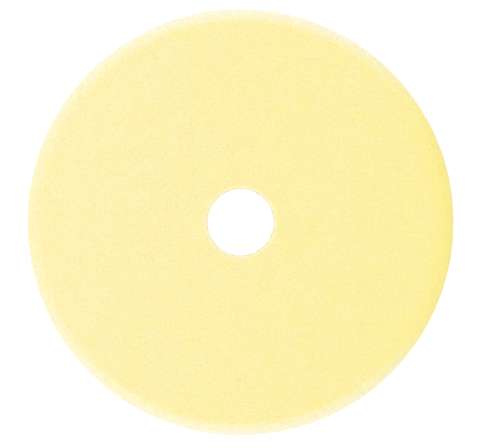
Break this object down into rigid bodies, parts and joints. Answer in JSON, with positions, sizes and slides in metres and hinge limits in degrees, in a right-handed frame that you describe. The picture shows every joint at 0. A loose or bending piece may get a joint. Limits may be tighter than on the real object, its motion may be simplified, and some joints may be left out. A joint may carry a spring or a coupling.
{
  "type": "foam finishing pad for a car polisher",
  "caption": "Round soft foam finishing pad with a centre hole and a loop fabric back, gripped by the hook face of a polishing machine's backing plate.",
  "frame": {"origin": "centre of the centre hole, at the level of the loop tips on the back of the pad", "axes": "+Z along the pad's axis and out of the working face; X and Y lie in the back face, and no direction round the axis is special"},
  "size_m": [0.15, 0.15, 0.025],
  "materials": {
    "foam": "matte",
    "bond": "satin",
    "loop": "matte"
  },
  "bodies": {
    "root": {"foam_body": "foam", "adhesive_film": "bond", "loop_backing": "loop"}
  },
  "joints": []
}
